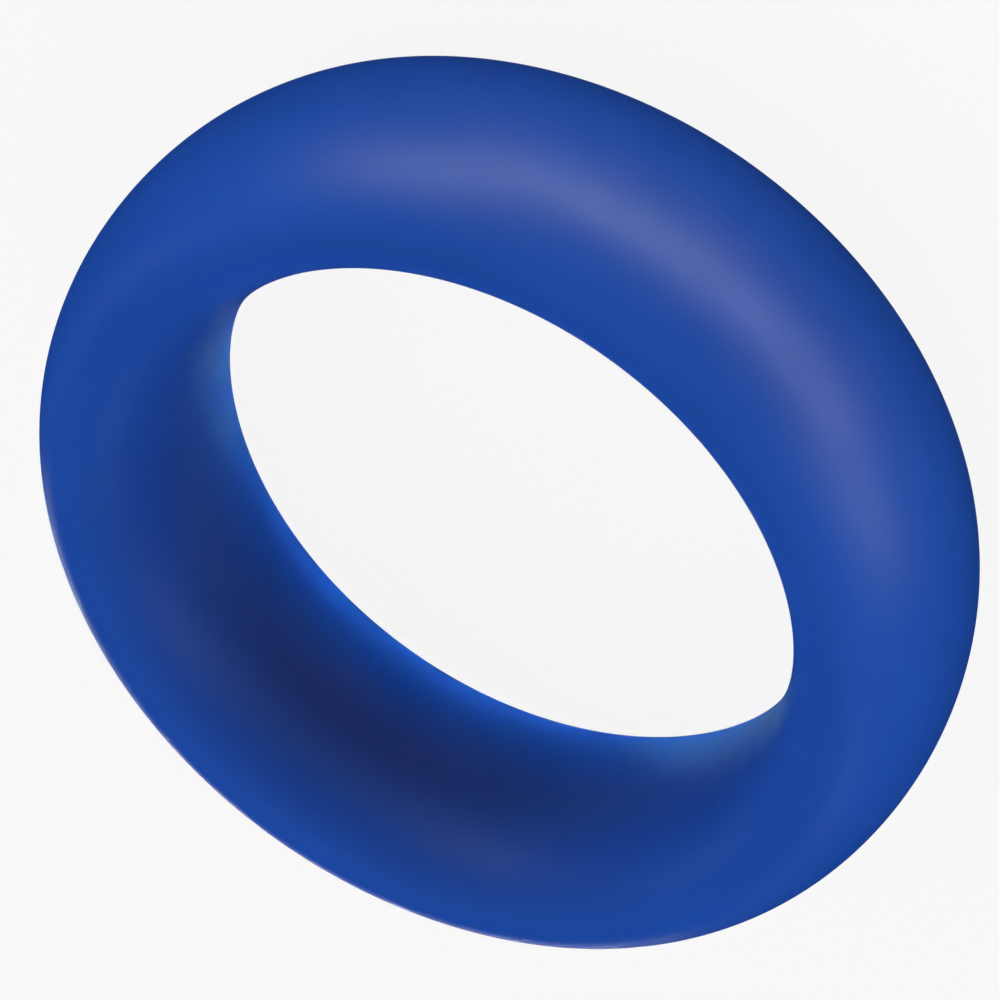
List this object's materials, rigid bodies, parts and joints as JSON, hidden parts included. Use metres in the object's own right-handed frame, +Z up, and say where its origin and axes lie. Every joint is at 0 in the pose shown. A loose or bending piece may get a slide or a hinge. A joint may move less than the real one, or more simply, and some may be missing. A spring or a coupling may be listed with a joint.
{
  "type": "flying ring",
  "caption": "Soft throwing ring with an upright oval section: a foam core in a satin rubber skin of two lapped and cemented halves, with a wide open centre.",
  "frame": {"origin": "on the ring's axis, level with the lowest point of its skin, which is what it rests on when it lies flat", "axes": "+Z up along the ring's axis; X and Y across it, and the ring is the same in every direction round Z"},
  "size_m": [0.18, 0.18, 0.0546],
  "materials": {
    "skin_rubber": "satin, smooth moulded",
    "core_foam": "closed-cell foam, matt",
    "seam_cement": "cured rubber cement, matt"
  },
  "bodies": {
    "root": {"upper_skin": "skin_rubber", "lower_skin": "skin_rubber", "foam_core": "core_foam", "outer_seam_cement": "seam_cement", "inner_seam_cement": "seam_cement"}
  },
  "joints": []
}
